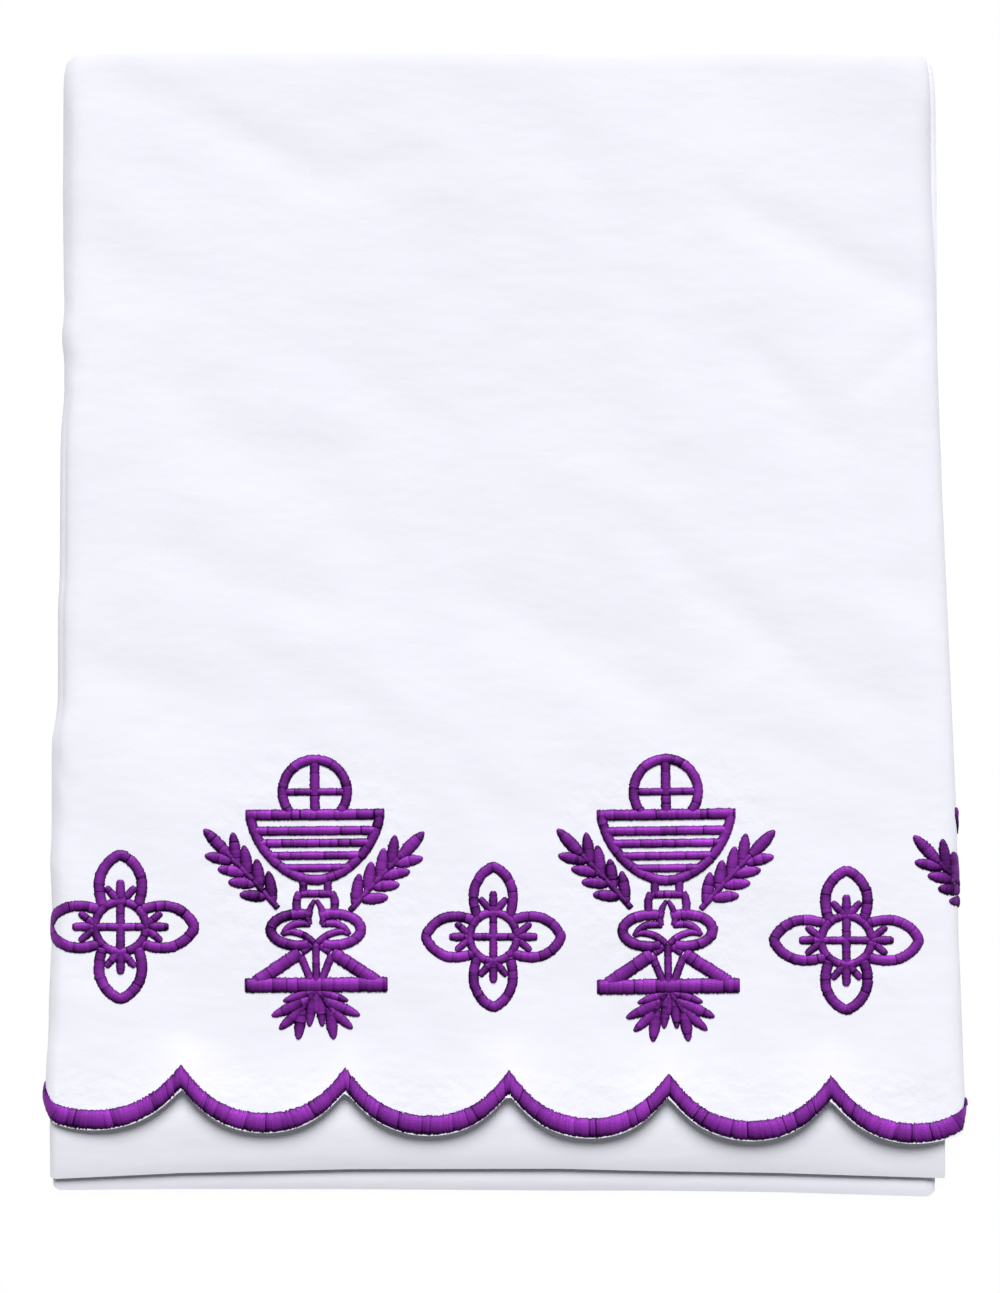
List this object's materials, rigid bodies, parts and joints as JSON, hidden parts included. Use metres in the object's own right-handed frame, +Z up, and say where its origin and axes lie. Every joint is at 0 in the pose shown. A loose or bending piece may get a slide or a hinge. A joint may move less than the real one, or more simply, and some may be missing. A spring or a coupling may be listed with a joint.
{
  "type": "folded altar cloth",
  "caption": "White altar cloth folded into a flat packet, its scalloped hem and chalice and cross motifs worked in purple satin stitch.",
  "frame": {"origin": "middle of the packet's underside, on the surface that it rests on", "axes": "+X across the packet to the right fold, +Y from the hem to the far fold, +Z up through the layers"},
  "size_m": [0.4072, 0.5008, 0.0147],
  "materials": {
    "white_cloth": "smooth plain weave, soft sheen",
    "purple_thread": "satin stitch, glossy thread"
  },
  "bodies": {
    "root": {"altar_cloth": "white_cloth", "scallop_edging": "purple_thread", "chalice_left": "purple_thread", "chalice_right": "purple_thread", "sprig_1": "purple_thread", "sprig_2": "purple_thread", "sprig_3": "purple_thread", "sprig_4": "purple_thread", "sprig_5": "purple_thread", "cross_flower_1": "purple_thread", "cross_flower_2": "purple_thread", "cross_flower_3": "purple_thread"}
  },
  "joints": []
}
